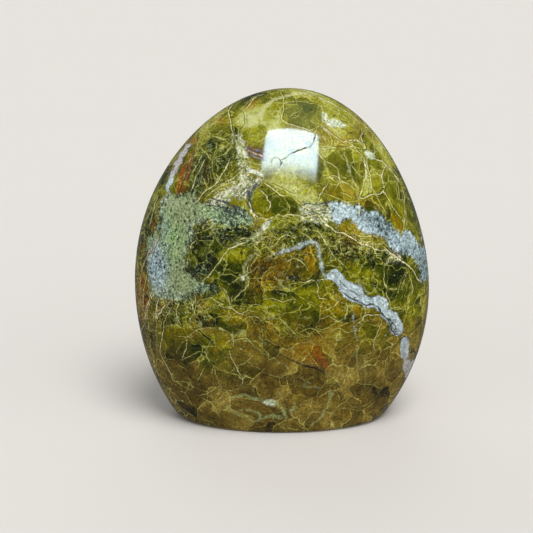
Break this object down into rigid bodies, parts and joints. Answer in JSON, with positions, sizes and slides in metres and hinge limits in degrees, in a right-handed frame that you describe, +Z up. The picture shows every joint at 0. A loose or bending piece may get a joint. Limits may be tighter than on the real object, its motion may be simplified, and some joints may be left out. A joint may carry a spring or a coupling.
{
  "type": "polished opal freeform",
  "caption": "Polished egg-shaped freeform of green common opal, pressed front to back, that stands on a small flat ground base.",
  "frame": {"origin": "middle of the stone's box, on the surface that the base rests on", "axes": "+Z up along the stone's height, -Y out of its broad front face, +X to the right seen from the front"},
  "size_m": [0.106, 0.0662, 0.12],
  "materials": {
    "green_opal": "high polish, moss green with cream veins, amber and blue-grey patches"
  },
  "bodies": {
    "root": {"stone": "green_opal"}
  },
  "joints": []
}
